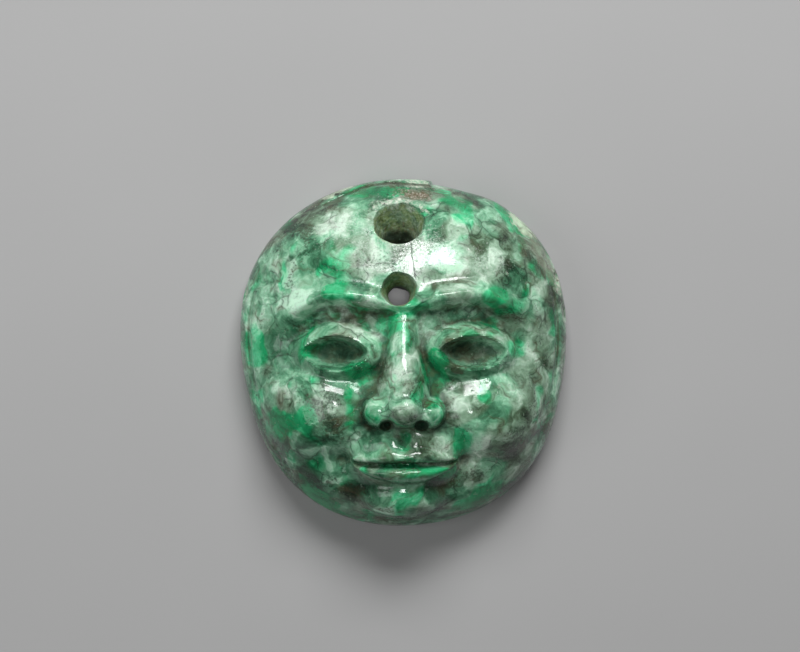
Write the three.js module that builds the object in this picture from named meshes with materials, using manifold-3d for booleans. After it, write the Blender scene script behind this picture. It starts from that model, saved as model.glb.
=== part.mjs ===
// A small mask ornament, carved from one piece of green stone and drilled twice for hanging.
// Millimetres, +Z up. The ornament lies on its back rim, the carved front looks up (+Z), and the
// crown of the head points along +Y. The origin is the middle of the underside.

import * as THREE from 'three';
import Module from 'manifold-3d';
import { mergeVertices } from 'three/addons/utils/BufferGeometryUtils.js';

// Overall sizes: the oval of the outline, the upright edge, the rise of the dome above it, and the
// chamfer round the underside
const WIDTH = 55.8;
const HEIGHT = 59.4;
const EDGE = 2.6;
const DOME = 16;
const CHAMFER = 0.5;

// The carver left the oval uneven: waves round the edge, each with its number of crests, its
// height, and the angle of one crest in degrees from the right-hand side
const EDGE_WAVES = [
  { crests: 3, high: 0.45, at: 32 },
  { crests: 4, high: 0.5, at: 47 },
  { crests: 5, high: 0.15, at: 23 },
];

// Power of the curve from the crown of the dome to its edge
const FULLNESS = 2.3;

// Step in radians over which the turn of the outline is taken
const SMALL_TURN = 0.001;

// The carving dies out over this last part of the way to the edge
const CARVED_TO = 0.87;

// Hollow in the back, as a share of the outline, and its depth
const HOLLOW_SHARE = 0.8;
const HOLLOW_DEPTH = 8;

// The cutter for the hollow runs on below the underside, a little wider
const CUT_BELOW = -1;
const CUT_WIDER = 1.02;

// Points closer than this are one point
const SAME_POINT = 1e-4;

// Rings of facets on the front and in the hollow, and sides of the round cutters
const FRONT_RINGS = 35;
const HOLLOW_RINGS = 9;
const DRILL_SIDES = 24;

// The carving is evened out over about a facet's width, so that fine edges stay clean
const EVENED_OVER = 0.92;

// Carved forms of the face. Each is an oval mound or hollow on both sides of the middle line:
// where it lies, its half sizes, how much its ends are pinched, and its height and fall.
const CHEEK = { x: 14.8, y: -10.6, wide: 9.2, high: 7.6, pinch: 0, top: 2.8, fall: 3.3, power: 1.15 };
const LIDS = { x: 11, y: -0.2, wide: 7.9, high: 5.1, pinch: 0.12, top: 2.3, fall: 3.4, power: 1.45 };
const EYE = { x: 11, y: -0.2, wide: 5.8, high: 2.9, pinch: 0.34, top: -2.6, fall: -4.4, power: 1.35 };
const MUZZLE = { x: 0, y: -17.2, wide: 10.9, high: 6.8, pinch: 0, top: 3, fall: 3.7, power: 1.25 };
const CHIN = { x: 0, y: -24.2, wide: 7.6, high: 3.9, pinch: 0, top: 3.3, fall: 3.6, power: 1.2 };
const NOSE_TIP = { x: 0, y: -8.9, wide: 4.1, high: 3.7, pinch: 0, top: 6.7, fall: 5.8, power: 1.15 };
const NOSE_WING = { x: 4.1, y: -9.8, wide: 2.9, high: 2.9, pinch: 0, top: 4.6, fall: 4.6, power: 1.2 };
const NOSTRIL = { x: 2.9, y: -12, wide: 1.6, high: 1.25, pinch: 0, top: -0.9, fall: -4.6, power: 1 };

// A form is never pinched to less than this share of its height
const PINCHED_TO = 0.35;

// How softly each form runs into what lies round it
const SOFT = {
  cheek: 0.9,
  lids: 0.8,
  eye: 0.45,
  muzzle: 0.6,
  chin: 1.1,
  tip: 1.6,
  wing: 0.9,
  nose: 0.9,
  nostril: 0.3,
};

// Brow line: its height on the face, the arch over each eye, the fall to the temples, the dip
// above the nose, and how sharply the face steps up at it
const BROW = { y: 6.9, arch: 0.9, fall: 5.8, dip: 0.4, step: 0.9, templeStep: 1.8 };
const BROW_ARCH = { x: 11.5, half: 6 };
const BROW_FALL = { from: 12, to: 26 };
const BROW_DIP = 2.6;
const TEMPLE = { from: 13, to: 22 };

// Ridge along the brow and groove above it: how high over the brow line, half width and height
const RIDGE = { above: 1.6, half: 1.05, high: 1.0 };
const FURROW = { above: 4.1, half: 1.3, deep: 0.45 };
const RIDGE_INNER = { from: 1.2, to: 5.5 };
const RIDGE_OUTER = { from: 13, to: 21 };

// Forehead over the sockets, how it dies away upwards and sideways, and the sunken sockets
const FOREHEAD = { high: 1.9, lost: 1.4, from: 9, to: 25, sideFrom: 13, sideTo: 24.5 };
const SOCKET = { x: 10, y: 1.2, wide: 8.4, high: 5.4, deep: 2.4 };

// Nose ridge: its line from the root between the brows to the tip, its ends, half width and sides
const NOSE = { root: 9, tip: -9, low: 0.6, gain: 5, sides: 3.6, sidePower: 2.2 };
const NOSE_FOOT = { from: -9.4, to: -14, fall: 9.6 };
const NOSE_HEAD = { from: 8, to: 13, fall: 5 };
const NOSE_HALF = { bridge: 2.8, lower: 1.1, upper: 1.4 };
const NOSE_LOWER = { from: 2, to: -8 };
const NOSE_UPPER = { from: 3, to: 8 };

// Lips: parting line and its curve, half length, thickness and roundness of each lip
const LIP_LINE = -18;
const LIP_CURVE = 0.002;
const LIP_HALF = 9.2;
const UPPER_LIP = { thick: 2.9, proud: 1.35, taper: 0.8 };
const LOWER_LIP = { thick: 3.1, proud: 1.5, taper: 0.9 };
const LIP_ROUND = 0.6;
const BOW = { share: 0.22, half: 1.6 };
const THINNEST = 0.001;

// Parting line, the dimples at its ends, and the groove from the nose to the upper lip
const PARTING = { deep: 1.3, half: 0.5, past: 0.6, taper: 0.4 };
const DIMPLE = { wide: 1.2, high: 1.5 };
const GROOVE = { deep: 0.4, half: 1.5, from: -16.6, full: -14.2, fades: -13.8, to: -11.8 };

// Drilled holes. Each leans back towards the crown of the head: where its mouth opens on the
// front, how far it leans from upright, and its radius at the distances from the mouth.
const SMALL_HOLE = {
  x: -0.84,
  y: 9.95,
  lean: 10,
  profile: [[-6, 4.0], [0, 2.8], [5.5, 1.75], [7, 1.75], [13, 2.6], [16, 3.1]],
};
const LARGE_HOLE = {
  x: -0.9,
  y: 20.9,
  lean: 35,
  profile: [[-6, 5.6], [0, 4.15], [7, 2.3], [9, 1.8], [14, 1.8]],
};

// Old damage along the edge, each a shallow scoop: where its middle lies on the front, its
// radius and its depth
const CHIPS = [
  { x: 2, y: 28.4, radius: 2.6, depth: 0.5 },
  { x: 8.8, y: 27.2, radius: 16, depth: 0.5 },
  { x: 19.4, y: 20.6, radius: 16, depth: 0.4 },
  { x: 24.2, y: 15.2, radius: 9, depth: 0.4 },
  { x: 25.6, y: 11.9, radius: 2.2, depth: 0.5 },
  { x: 26.8, y: 6.4, radius: 3.5, depth: 0.35 },
  { x: -23.4, y: 9.8, radius: 40, depth: 0.35 },
  { x: -26.6, y: 9.4, radius: 2.6, depth: 0.4 },
  { x: -20.6, y: -18.6, radius: 50, depth: 0.35 },
];

// Material
const STONE = { color: 0x4f9a6b, roughness: 0.2, metalness: 0 };

const UP = new THREE.Vector3(0, 0, 1);

function clamp(value, low, high) {
  return Math.min(Math.max(value, low), high);
}

// Smooth step from 0 at one place to 1 at another
function ease(from, to, value) {
  const t = clamp((value - from) / (to - from), 0, 1);
  return t * t * (3 - 2 * t);
}

// A bell of height 1 and the given half width
function bell(value, middle, half) {
  return Math.exp(-(((value - middle) / half) ** 2));
}

// The higher of two surfaces, with a rounded valley where they meet
function higher(a, b, soft) {
  const share = clamp(0.5 + (0.5 * (a - b)) / soft, 0, 1);
  return b + (a - b) * share + soft * share * (1 - share);
}

// The lower of two surfaces, with a rounded arris where they meet
function lower(a, b, soft) {
  return -higher(-a, -b, soft);
}

// Height of one oval carved form
function form(x, y, shape) {
  const along = (x - shape.x) / shape.wide;
  const across = (y - shape.y) / (shape.high * Math.max(1 - shape.pinch * along ** 2, PINCHED_TO));
  return shape.top - shape.fall * (along ** 2 + across ** 2) ** shape.power;
}

// Height of the brow line on the face, at a distance from the middle
function browLine(side) {
  const arch = BROW.arch * bell(side, BROW_ARCH.x, BROW_ARCH.half);
  const fall = BROW.fall * ease(BROW_FALL.from, BROW_FALL.to, side);
  return BROW.y + arch - fall - BROW.dip * bell(side, 0, BROW_DIP);
}

// Forehead standing over the sockets, with a raised ridge along the brow
function upperFace(side, y) {
  const brow = browLine(side);
  const blur = BROW.step + BROW.templeStep * ease(TEMPLE.from, TEMPLE.to, side);
  const above = ease(brow - blur, brow + blur, y);
  const crown = FOREHEAD.high - FOREHEAD.lost * ease(FOREHEAD.from, FOREHEAD.to, y);
  const forehead = crown * (1 - ease(FOREHEAD.sideFrom, FOREHEAD.sideTo, side));
  const socket = SOCKET.deep * bell(side, SOCKET.x, SOCKET.wide) * bell(y, SOCKET.y, SOCKET.high);
  const inner = ease(RIDGE_INNER.from, RIDGE_INNER.to, side);
  const ends = inner * (1 - ease(RIDGE_OUTER.from, RIDGE_OUTER.to, side));
  const raised = RIDGE.high * bell(y, brow + RIDGE.above, RIDGE.half);
  const furrow = FURROW.deep * bell(y, brow + FURROW.above, FURROW.half);
  return above * forehead - socket * (1 - above) + (raised - furrow) * ends;
}

// Round section of one lip, at a share of its thickness
function roll(lip, share) {
  return lip.proud * (4 * share * (1 - share)) ** LIP_ROUND;
}

// Lips laid over the muzzle, parted by a thin line with a dimple at each end
function lips(x, y) {
  const line = LIP_LINE + LIP_CURVE * x ** 2;
  const taper = Math.max(1 - (x / LIP_HALF) ** 2, 0);
  const bow = 1 - BOW.share * bell(x, 0, BOW.half);
  const upper = UPPER_LIP.thick * taper ** UPPER_LIP.taper * bow + THINNEST;
  const under = LOWER_LIP.thick * taper ** LOWER_LIP.taper + THINNEST;
  const rolls = roll(UPPER_LIP, clamp((y - line) / upper, 0, 1))
    + roll(LOWER_LIP, clamp((line - y) / under, 0, 1));
  const corner = LIP_HALF + PARTING.past;
  const length = Math.max(1 - (x / corner) ** 2, 0) ** PARTING.taper;
  const parting = PARTING.deep * bell(y, line, PARTING.half) * length;
  const dimple = bell(Math.abs(x), corner, DIMPLE.wide) * bell(y, line, DIMPLE.high);
  const run = ease(GROOVE.from, GROOVE.full, y) * (1 - ease(GROOVE.fades, GROOVE.to, y));
  const groove = GROOVE.deep * bell(x, 0, GROOVE.half) * run;
  return rolls * Math.sqrt(taper) - parting - dimple - groove;
}

// Nose: a ridge from the brows, a rounded tip and two wings
function nose(x, y) {
  const top = NOSE.low
    + NOSE.gain * ease(NOSE.root, NOSE.tip, y)
    - NOSE_FOOT.fall * ease(NOSE_FOOT.from, NOSE_FOOT.to, y)
    - NOSE_HEAD.fall * ease(NOSE_HEAD.from, NOSE_HEAD.to, y);
  const half = NOSE_HALF.bridge
    + NOSE_HALF.lower * ease(NOSE_LOWER.from, NOSE_LOWER.to, y)
    + NOSE_HALF.upper * ease(NOSE_UPPER.from, NOSE_UPPER.to, y);
  const ridge = top - NOSE.sides * Math.abs(x / half) ** NOSE.sidePower;
  const tipped = higher(ridge, form(x, y, NOSE_TIP), SOFT.tip);
  return higher(tipped, form(Math.abs(x), y, NOSE_WING), SOFT.wing);
}

// Height of the carving over the plain dome
function carving(x, y) {
  const side = Math.abs(x);
  let height = upperFace(side, y);
  height = higher(height, form(side, y, CHEEK), SOFT.cheek);
  height = higher(height, form(side, y, LIDS), SOFT.lids);
  height = lower(height, form(side, y, EYE), SOFT.eye);
  height = higher(height, form(x, y, MUZZLE), SOFT.muzzle);
  height = higher(height, form(x, y, CHIN), SOFT.chin);
  height += lips(x, y);
  height = higher(height, nose(x, y), SOFT.nose);
  return lower(height, form(side, y, NOSTRIL), SOFT.nostril);
}

// Distance from the middle to the edge, seen from the front
function outline(angle) {
  let reach = 1 / Math.hypot(Math.cos(angle) / (WIDTH / 2), Math.sin(angle) / (HEIGHT / 2));
  for (const wave of EDGE_WAVES) {
    reach += wave.high * Math.cos(wave.crests * (angle - THREE.MathUtils.degToRad(wave.at)));
  }
  return reach;
}

// A point of the uncarved dome at a share of the way to the edge, and the way it faces there
function domePoint(share, angle) {
  const reach = outline(angle);
  const turn = (outline(angle + SMALL_TURN) - outline(angle - SMALL_TURN)) / (2 * SMALL_TURN);
  const drop = Math.sqrt(Math.max(1 - share ** FULLNESS, 0));
  const lean = (DOME * FULLNESS * share ** (FULLNESS - 1)) / 2;
  const out = new THREE.Vector3(Math.cos(angle), Math.sin(angle), 0);
  const round = new THREE.Vector3(-Math.sin(angle), Math.cos(angle), 0);
  const facing = new THREE.Vector3(0, 0, drop)
    .addScaledVector(out, lean / reach)
    .addScaledVector(round, (-lean * turn) / reach ** 2)
    .normalize();
  const place = out.clone().multiplyScalar(share * reach);
  place.z = EDGE + DOME * drop;
  return { place, facing };
}

// Height of the carving, as the mean over a small patch: its middle and the corners of a hexagon
function evenedCarving(x, y) {
  const corners = 6;
  let sum = carving(x, y);
  for (let step = 0; step < corners; step += 1) {
    const angle = (step * 2 * Math.PI) / corners;
    sum += carving(x + EVENED_OVER * Math.cos(angle), y + EVENED_OVER * Math.sin(angle));
  }
  return sum / (corners + 1);
}

// A point of the carved front, before it is chipped. The carving rises half way between square
// to the dome and straight up.
function carvedPoint(share, angle) {
  const { place, facing } = domePoint(share, angle);
  const rise = facing.clone().add(UP).normalize();
  const height = evenedCarving(place.x, place.y) * (1 - ease(CARVED_TO, 1, share));
  return place.addScaledVector(rise, height);
}

// Share of the way to the edge, and angle, of a place seen from the front
function planPlace(x, y) {
  const angle = Math.atan2(y, x);
  return [Math.min(Math.hypot(x, y) / outline(angle), 1), angle];
}

// The ball whose skin each scoop follows
const scoops = CHIPS.map(({ x, y, radius, depth }) => {
  const { facing } = domePoint(...planPlace(x, y));
  return { centre: carvedPoint(...planPlace(x, y)).addScaledVector(facing, radius - depth), radius };
});

// A point of the front as it is now: what lay inside a ball is worn back to its skin
function frontPoint(ring, angle) {
  const share = (ring + Math.sin((ring * Math.PI) / 2) ** (2 / FULLNESS)) / 2;
  const point = carvedPoint(share, angle);
  for (const { centre, radius } of scoops) {
    const arm = point.clone().sub(centre);
    if (arm.length() < radius) point.copy(centre).add(arm.setLength(radius));
  }
  return point;
}

// A point of the roof of the hollow
function hollowPoint(ring, angle) {
  const share = Math.sin((ring * Math.PI) / 2);
  const reach = share * outline(angle) * HOLLOW_SHARE;
  const roof = HOLLOW_DEPTH * Math.cos((ring * Math.PI) / 2);
  return new THREE.Vector3(reach * Math.cos(angle), reach * Math.sin(angle), roof);
}

// Closed body under a surface of nested rings, each ring with six more points than the last.
// The feet are rings, each a share of the outer ring at a height of its own, that close it below.
function domedSolid(rings, surface, feet) {
  const points = [surface(0, 0)];
  for (let ring = 1; ring <= rings; ring += 1) {
    for (let step = 0; step < 6 * ring; step += 1) {
      points.push(surface(ring / rings, (Math.PI * step) / (3 * ring)));
    }
  }
  const firstOf = (ring) => (ring === 0 ? 0 : 1 + 3 * ring * (ring - 1));
  const faces = [];
  for (let ring = 1; ring <= rings; ring += 1) {
    const outer = (step) => firstOf(ring) + (step % (6 * ring));
    const inner = (step) => firstOf(ring - 1) + (ring === 1 ? 0 : step % (6 * (ring - 1)));
    for (let sector = 0; sector < 6; sector += 1) {
      for (let step = 0; step < ring; step += 1) {
        const o = sector * ring + step;
        const i = sector * (ring - 1) + step;
        faces.push(outer(o), outer(o + 1), inner(i));
        if (step < ring - 1) faces.push(inner(i), outer(o + 1), inner(i + 1));
      }
    }
  }
  const count = 6 * rings;
  let above = firstOf(rings);
  for (const foot of feet) {
    const start = points.length;
    for (let step = 0; step < count; step += 1) {
      const rim = points[firstOf(rings) + step];
      points.push(new THREE.Vector3(rim.x * foot.share, rim.y * foot.share, foot.z));
    }
    for (let step = 0; step < count; step += 1) {
      const next = (step + 1) % count;
      faces.push(above + step, start + step, start + next);
      faces.push(above + step, start + next, above + next);
    }
    above = start;
  }
  const middle = points.length;
  points.push(new THREE.Vector3(0, 0, feet[feet.length - 1].z));
  for (let step = 0; step < count; step += 1) {
    faces.push(above + ((step + 1) % count), above + step, middle);
  }
  const geometry = new THREE.BufferGeometry().setFromPoints(points);
  geometry.setIndex(faces);
  return geometry;
}

// The stone before it is hollowed and drilled
function roughStone() {
  const inset = 1 - CHAMFER / (WIDTH / 2);
  return domedSolid(FRONT_RINGS, frontPoint, [{ share: 1, z: CHAMFER }, { share: inset, z: 0 }]);
}

// The body taken out of the back
function hollow() {
  return domedSolid(HOLLOW_RINGS, hollowPoint, [{ share: CUT_WIDER, z: CUT_BELOW }]);
}

// A turned drill bit in the place of one hole, with its tip leaning away from the crown
function drill(hole) {
  const mouth = carvedPoint(...planPlace(hole.x, hole.y));
  const section = hole.profile.map(([depth, radius]) => new THREE.Vector2(radius, -depth));
  const top = new THREE.Vector2(0, section[0].y);
  const tip = new THREE.Vector2(0, section[section.length - 1].y);
  const geometry = new THREE.LatheGeometry([tip, ...section.reverse(), top], DRILL_SIDES);
  geometry.rotateX(Math.PI / 2 - THREE.MathUtils.degToRad(hole.lean));
  geometry.translate(mouth.x, mouth.y, mouth.z);
  return geometry;
}

const wasm = await Module();
wasm.setup();

// A closed geometry as a solid that can be cut
function solid(geometry) {
  const bare = geometry.clone();
  bare.deleteAttribute('normal');
  bare.deleteAttribute('uv');
  const merged = mergeVertices(bare, SAME_POINT);
  return new wasm.Manifold(new wasm.Mesh({
    numProp: 3,
    vertProperties: new Float32Array(merged.attributes.position.array),
    triVerts: new Uint32Array(merged.index.array),
  }));
}

// A solid as a geometry again
function surfaceOf(body) {
  const mesh = body.getMesh();
  const geometry = new THREE.BufferGeometry();
  geometry.setAttribute('position', new THREE.BufferAttribute(mesh.vertProperties, 3));
  geometry.setIndex(new THREE.BufferAttribute(mesh.triVerts, 1));
  return geometry;
}

function carvedStone() {
  let stone = solid(roughStone()).subtract(solid(hollow()));
  for (const hole of [SMALL_HOLE, LARGE_HOLE]) stone = stone.subtract(solid(drill(hole)));
  const geometry = surfaceOf(stone);
  geometry.computeVertexNormals();
  return geometry;
}

const mask = new THREE.Mesh(carvedStone(), new THREE.MeshStandardMaterial(STONE));
mask.name = 'mask';

const ornament = new THREE.Group();
ornament.add(mask);

export default ornament;
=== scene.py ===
import math
from collections import namedtuple
from types import SimpleNamespace as Sizes

import bmesh
import bpy
import numpy as np
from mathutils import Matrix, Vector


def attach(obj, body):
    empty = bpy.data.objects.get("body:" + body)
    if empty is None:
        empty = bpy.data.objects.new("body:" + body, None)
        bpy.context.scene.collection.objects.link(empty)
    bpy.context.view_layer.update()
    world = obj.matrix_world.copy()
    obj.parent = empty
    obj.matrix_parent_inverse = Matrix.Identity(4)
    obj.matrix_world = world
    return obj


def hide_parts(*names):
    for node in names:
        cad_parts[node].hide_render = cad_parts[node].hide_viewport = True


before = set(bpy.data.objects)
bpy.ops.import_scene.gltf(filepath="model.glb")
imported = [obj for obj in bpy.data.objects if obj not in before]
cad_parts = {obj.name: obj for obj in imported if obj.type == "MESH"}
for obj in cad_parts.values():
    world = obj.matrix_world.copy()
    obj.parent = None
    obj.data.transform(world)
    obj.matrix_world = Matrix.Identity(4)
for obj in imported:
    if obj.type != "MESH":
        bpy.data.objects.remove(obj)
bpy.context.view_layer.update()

# A small face mask carved from mottled green stone, lying on the rim of its hollow back.
# The stone is worked out in millimetres, and MM turns them into metres.
MM = 0.001

# Points closer than this are one point
SAME_PLACE = 0.002

# The oval of the outline, the upright edge, the rise of the dome above it, the chamfer below
WIDTH = 55.8
HEIGHT = 59.4
EDGE = 2.6
DOME = 16
CHAMFER = 0.5

# Waves in the uneven oval: number of crests, height, and the angle of one crest in degrees from the
# right-hand side
EDGE_WAVES = [(3, 0.45, 32), (4, 0.5, 47), (5, 0.15, 23)]

# Step in radians over which the turn of the outline is taken
SMALL_TURN = 0.001

# Power of the curve from the crown of the dome to its edge, and where the carving starts to die out
FULLNESS = 2.3
CARVED_TO = 0.87

# Hollow back, as a share of the outline, and its depth; the rim is left plain from these shares on.
# Its cutter runs on below the underside, a little wider.
HOLLOW_SHARE = 0.8
HOLLOW_DEPTH = 8
PLAIN_RIM = (0.9, 1)
CUT_WIDER = 1.02
CUT_BELOW = -1

# Rings of points on the front and in the hollow, and sides of the drilled holes
FRONT_RINGS = 150
HOLLOW_RINGS = 42
DRILL_SIDES = 72

# Edges that turn by more degrees than this stay sharp
SHARP_TURN = 38

# Unevenness, as waves with a height, a size and a seed; the first two bend the carver's lines
STRAYS_RIGHT = [(0.22, 13, 3)]
STRAYS_UP = [(0.22, 11, 4)]
FRONT_WAVES = [(0.14, 10, 5), (0.015, 3.2, 6)]
HOLLOW_WAVES = [(0.16, 5, 9), (0.05, 1.6, 10)]
DRILL_WAVES = [(0.07, 2.5, 11)]
CHIP_WAVES = [(0.10, 2.2, 7), (0.03, 0.9, 8)]
DAMAGE_WAVES = [(0.3, 2.0, 12)]
BREAK_WAVES = [(0.12, 0.9, 13), (0.06, 0.45, 14)]

# Carved forms: where each lies, its half sizes, its top, its fall away from the top, the power of
# that fall, how much its ends are pinched, and how softly it runs into what lies round it
Form = namedtuple("Form", "x y wide high top fall power pinch soft")
CHEEK = Form(14.8, -10.6, 9.2, 7.6, 2.8, 3.3, 1.15, 0, 0.9)
LIDS = Form(11, -0.2, 7.9, 5.1, 2.3, 3.4, 1.45, 0.12, 0.8)
EYE = Form(11, -0.2, 5.8, 2.9, -2.6, -4.4, 1.35, 0.34, 0.45)
MUZZLE = Form(0, -17.2, 10.9, 6.8, 3, 3.7, 1.25, 0, 0.6)
CHIN = Form(0, -24.2, 7.6, 3.9, 3.3, 3.6, 1.2, 0, 1.1)
NOSE_TIP = Form(0, -8.9, 4.1, 3.7, 6.7, 5.8, 1.15, 0, 1.6)
NOSE_WING = Form(4.1, -9.8, 2.9, 2.9, 4.6, 4.6, 1.2, 0, 0.9)
NOSTRIL = Form(2.9, -12, 1.6, 1.25, -0.9, -4.6, 1, 0, 0.3)

# A form is never pinched to less than this share of its height
PINCHED_TO = 0.35

# Brow line: its height on the face, the arch over each eye, the fall to the temples, the dip
# above the nose, and how sharply the face steps up at it
BROW = Sizes(y=6.9, arch=0.9, fall=5.8, dip=0.4, step=0.9, temple_step=1.8)
BROW_ARCH = Sizes(x=11.5, half=6)
BROW_FALL = (12, 26)
BROW_DIP = 2.6
TEMPLE = (13, 22)

# Ridge along the brow and groove above it: how high over the brow line, half width and height
RIDGE = Sizes(above=1.6, half=1.05, high=1.0, inner=(1.2, 5.5), outer=(13, 21))
FURROW = Sizes(above=4.1, half=1.3, deep=0.45)

# Forehead over the sockets, how it dies away upwards and sideways, and the sunken sockets
FOREHEAD = Sizes(high=1.9, lost=1.4, upwards=(9, 25), sideways=(13, 24.5))
SOCKET = Sizes(x=10, y=1.2, wide=8.4, high=5.4, deep=2.4)

# Nose ridge: its line from the root between the brows to the tip, its ends, half width and sides
NOSE = Sizes(root=9, tip=-9, low=0.6, gain=5, sides=3.6, side_power=2.2, soft=0.9)
NOSE_FOOT = Sizes(start=-9.4, end=-14, fall=9.6)
NOSE_HEAD = Sizes(start=8, end=13, fall=5)
NOSE_HALF = Sizes(bridge=2.8, lower=1.1, upper=1.4, downwards=(2, -8), upwards=(3, 8))

# Lips: parting line and its curve, half length, thickness and roundness of each lip
LIP_LINE = -18
LIP_CURVE = 0.002
LIP_HALF = 9.2
UPPER_LIP = Sizes(thick=2.9, proud=1.35, taper=0.8)
LOWER_LIP = Sizes(thick=3.1, proud=1.5, taper=0.9)
LIP_ROUND = 0.6
BOW = Sizes(share=0.22, half=1.6)
THINNEST = 0.001

# Parting line, the dimples at its ends, and the groove from the nose to the upper lip
PARTING = Sizes(deep=1.3, half=0.5, past=0.6, taper=0.4)
DIMPLE = Sizes(wide=1.2, high=1.5)
GROOVE = Sizes(deep=0.4, half=1.5, below=(-16.6, -14.2), above=(-13.8, -11.8))

# Drilled holes: mouth on the front, lean towards the crown in degrees, the radius at distances
# from the mouth, and the distances between which the wall turns brown and then dark with painted shade
SMALL_HOLE = Sizes(x=-0.84, y=9.95, lean=10, stained=(1.5, 4), dark=(4.6, 9),
                   profile=[(-6, 4.0), (0, 2.8), (5.5, 1.75), (7, 1.75), (13, 2.6), (16, 3.1)])
LARGE_HOLE = Sizes(x=-0.9, y=20.9, lean=35, stained=(2.8, 4.2), dark=(4.6, 6.4),
                   profile=[(-6, 5.6), (0, 4.15), (7, 2.3), (9, 1.8), (14, 1.8)])

# Wear of a mouth: how much wider it is, the depth from which it counts, and how fast it fades
WORN_MOUTH = Sizes(wide=0.22, top=-1.2, fade=0.45)

# Depths at which a drill is drawn, close together at the mouth: first, last and how many
MOUTH_LEVELS = (-1.2, 1.5, 28)
SHAFT_LEVELS = Sizes(first=1.8, count=50)

# Old damage along the edge: place, radius of the scoop, its depth, and how raw it still is
CHIPS = [
    (2, 28.4, 2.6, 0.5, 1), (19.4, 20.6, 16, 0.4, 0), (24.2, 15.2, 9, 0.4, 0.2),
    (25.6, 11.9, 2.2, 0.5, 0.6), (26.8, 6.4, 3.5, 0.35, 0.3), (-23.4, 9.8, 40, 0.35, 0),
    (-26.6, 9.4, 2.6, 0.4, 0.5), (-20.6, -18.6, 50, 0.35, 0),
]

# A fissure along the upper left of the edge, and the roll of stone outside it
FISSURE = [(-13.2, 24.2), (-9.1, 26.2), (-7.1, 27.2), (-4.7, 27.7), (-2.4, 28),
           (3, 27.6), (4.4, 27.5)]
FISSURE_CUT = Sizes(deep=0.5, half=0.3)
ROLL = [(-14.2, 25.3), (-9.8, 27.6), (-6.2, 28.6), (-1.0, 29.0)]
ROLL_RISE = Sizes(high=0.7, half=0.8)

# The edge lost right of the crown: its depth, where it starts and ends, and how near the edge
LOST_EDGE = Sizes(deep=0.55, start=(4.1, 4.7), end=(9, 16), shares=(0.86, 0.97))

# Creases that set off the sides of the head: share of the way to the edge, half width and depth,
# and their middle and spread up the side in radians
SIDE_CREASE = Sizes(share=0.935, half=0.013, deep=0.36, middle=0.1, spread=0.42)

# Depth of the break over the large hole
BREAK_DEEP = 0.35

# Patches of the stone: place, half sizes and lean in degrees. The first four are its colours, though a
# few pale and dark ones are painted light and shade; the others are the break over the large hole,
# weathered stone, dull spots and worn polish.
PATCHES = {
    "emerald": [
        (-5.1, 26.2, 3.6, 1.2, -8), (-5.2, 28.6, 2.6, 0.5, 6), (-11.3, 9.7, 1.5, 1.2, 0),
        (-24.2, 0.6, 1.8, 2.6, 0), (7.6, 24.4, 2.4, 1.3, -40), (17, 22.4, 4, 0.8, -54),
        (15.3, 8.5, 2.8, 1.6, 0), (-6.6, -3.6, 2, 1.3, 30), (-8.8, -7.4, 1.2, 3.6, 0),
        (-18.6, -11.5, 3.8, 1.9, 8), (-13.4, -25, 4.2, 1.5, -32), (9.8, -14.2, 1.8, 2.6, 0),
        (10.9, -25, 3.6, 1.5, 24), (5.2, -1.6, 1.4, 2.4, 20), (4.6, -18.8, 3.4, 1, 0),
        (-2.6, 4.2, 2, 1.2, 0),
    ],
    # The two wide pale patches at -8.6, 8.6 and 8.8, 8.8 are painted light, lifting the shade along
    # the brows
    "pale": [
        (-9.6, 18.8, 4.4, 2.8, 25), (6, 15.6, 4.4, 2.2, 0), (12.4, 19.8, 3.2, 2.2, -20),
        (-23, 9, 3.6, 7, -6), (-8.6, 8.6, 8, 2.8, 4), (8.8, 8.8, 7.6, 2.6, -4),
        (-5.4, 3.6, 3, 3, 0), (4.8, 4.2, 2.6, 2.6, 0), (-24.2, 1, 2.4, 3.4, 0),
        (-7.4, -16.2, 1.4, 2.8, 0), (17.4, -7.3, 4.6, 1.7, -4), (12.8, -15.9, 2.6, 2, 0),
        (-1.8, -22.8, 3.4, 1.1, 6),
    ],
    # The dark patch at -5.1, 26.2 deepens the emerald there and is partly painted shade, toning down
    # the strong light on that steep top edge; the tall one at 22, -10.5 is painted shade along the
    # lower right edge
    "dark": [
        (-17.2, 20.6, 6.4, 3, 46), (0, 27, 7, 1.4, 0), (9.5, 26.4, 4.5, 0.9, -22),
        (21.4, 14.4, 4.5, 1, -60), (-13.6, 22.6, 3, 1.4, 30), (-5.1, 26.2, 3.4, 1, -8),
        (15.4, 17.6, 2.4, 1.6, -30), (17.6, 6.6, 2.2, 1.5, 0), (-12.4, -12.4, 3.6, 2.4, 0),
        (-17.4, -20.6, 5, 2.2, -42), (19, -20.6, 3.4, 2.2, 40), (1, -14.6, 3, 1.6, 0),
        (-3.4, 9.6, 1.8, 1.2, 60), (24.4, 7, 1.2, 4, 12), (22, -10.5, 2.6, 5.5, 18),
        (18.4, -14.4, 3.6, 2.2, 30), (2.2, -26.2, 5, 1.4, 4), (9, -21, 4, 1.2, 10),
        (-10.6, -7, 3, 1.4, -20), (-9.6, -22.4, 3.4, 1.6, -10),
    ],
    "cream": [(19.9, 21, 2.7, 1.2, -50), (-12.6, 25.7, 1.2, 0.6, 30), (-10.6, 27, 2, 0.6, 28)],
    "earthy": [(1.7, 25.6, 3, 0.9, -8)],
    "weathered": [(23.6, 14.6, 5.4, 1.1, -61)],
    "frosty": [
        (0.5, 17.2, 9, 4.2, 0), (-10.5, 20, 4.5, 2.6, 28), (13.5, 14.5, 3.5, 2.5, 0),
        (-2, 24.6, 3.4, 0.9, 4),
    ],
    "worn": [(-6.8, 13.6, 5.2, 3, 0), (3.4, 12.4, 2.6, 1.2, 20)],
}

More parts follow.
